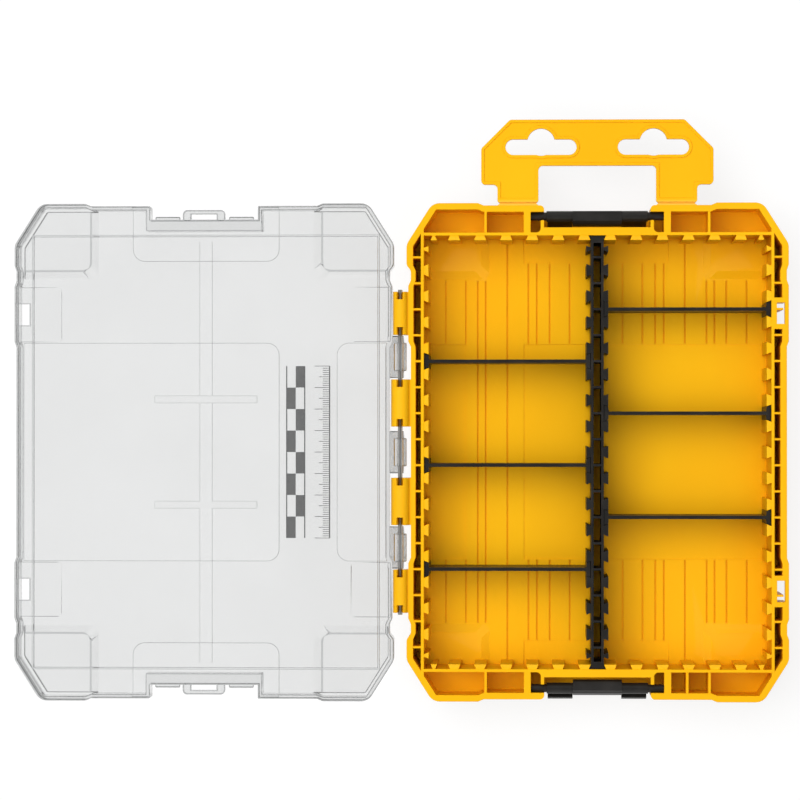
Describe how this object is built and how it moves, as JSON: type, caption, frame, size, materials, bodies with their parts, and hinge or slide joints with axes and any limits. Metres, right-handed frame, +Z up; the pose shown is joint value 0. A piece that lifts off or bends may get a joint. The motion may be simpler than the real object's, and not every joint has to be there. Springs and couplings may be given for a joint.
{
  "type": "compartment tool case",
  "caption": "Shallow moulded case with a toothed tray, sliding divider walls, a clear hinged lid, snap latches and a break-off hanging tab.",
  "frame": {"origin": "centre of the tray's flat underside", "axes": "+X across the hinge, away from it; +Y along the hinge, towards the hanging tab; +Z up"},
  "size_m": [0.3578, 0.2685, 0.0444],
  "materials": {
    "tray_plastic": "satin moulded yellow plastic",
    "clear_plastic": "polished clear plastic",
    "black_plastic": "satin moulded black plastic",
    "pin_steel": "drawn steel wire"
  },
  "bodies": {
    "base": {"base_tray": "tray_plastic", "hang_tab": "tray_plastic", "hinge_pin": "pin_steel"},
    "lid": {"lid_shell": "clear_plastic"},
    "rear_latch": {"latch_rear": "black_plastic"},
    "front_latch": {"latch_front": "black_plastic"},
    "rail": {"centre_rail": "black_plastic"},
    "left_rear_divider": {"divider_left_rear": "black_plastic"},
    "left_middle_divider": {"divider_left_middle": "black_plastic"},
    "left_front_divider": {"divider_left_front": "black_plastic"},
    "right_rear_divider": {"divider_right_rear": "black_plastic"},
    "right_middle_divider": {"divider_right_middle": "black_plastic"},
    "right_front_divider": {"divider_right_front": "black_plastic"}
  },
  "joints": [
    {"name": "lid_hinge", "type": "hinge", "parent": "base", "child": "lid", "pos_m": [-0.0909, 0, 0.0402], "axis": [0, -1, 0], "range_deg": [-180, 0]},
    {"name": "rear_latch_pivot", "type": "hinge", "parent": "base", "child": "rear_latch", "pos_m": [0, 0.109, 0.035], "axis": [-1, 0, 0], "range_deg": [-188, 0]},
    {"name": "front_latch_pivot", "type": "hinge", "parent": "base", "child": "front_latch", "pos_m": [0, -0.109, 0.035], "axis": [1, 0, 0], "range_deg": [-160, 28]},
    {"name": "rail_lift", "type": "slide", "parent": "base", "child": "rail", "axis": [0, 0, 1], "range_m": [0, 0.042]},
    {"name": "left_rear_divider_lift", "type": "slide", "parent": "base", "child": "left_rear_divider", "axis": [0, 0, 1], "range_m": [0, 0.042]},
    {"name": "left_middle_divider_lift", "type": "slide", "parent": "base", "child": "left_middle_divider", "axis": [0, 0, 1], "range_m": [0, 0.042]},
    {"name": "left_front_divider_lift", "type": "slide", "parent": "base", "child": "left_front_divider", "axis": [0, 0, 1], "range_m": [0, 0.042]},
    {"name": "right_rear_divider_lift", "type": "slide", "parent": "base", "child": "right_rear_divider", "axis": [0, 0, 1], "range_m": [0, 0.042]},
    {"name": "right_middle_divider_lift", "type": "slide", "parent": "base", "child": "right_middle_divider", "axis": [0, 0, 1], "range_m": [0, 0.042]},
    {"name": "right_front_divider_lift", "type": "slide", "parent": "base", "child": "right_front_divider", "axis": [0, 0, 1], "range_m": [0, 0.042]}
  ]
}
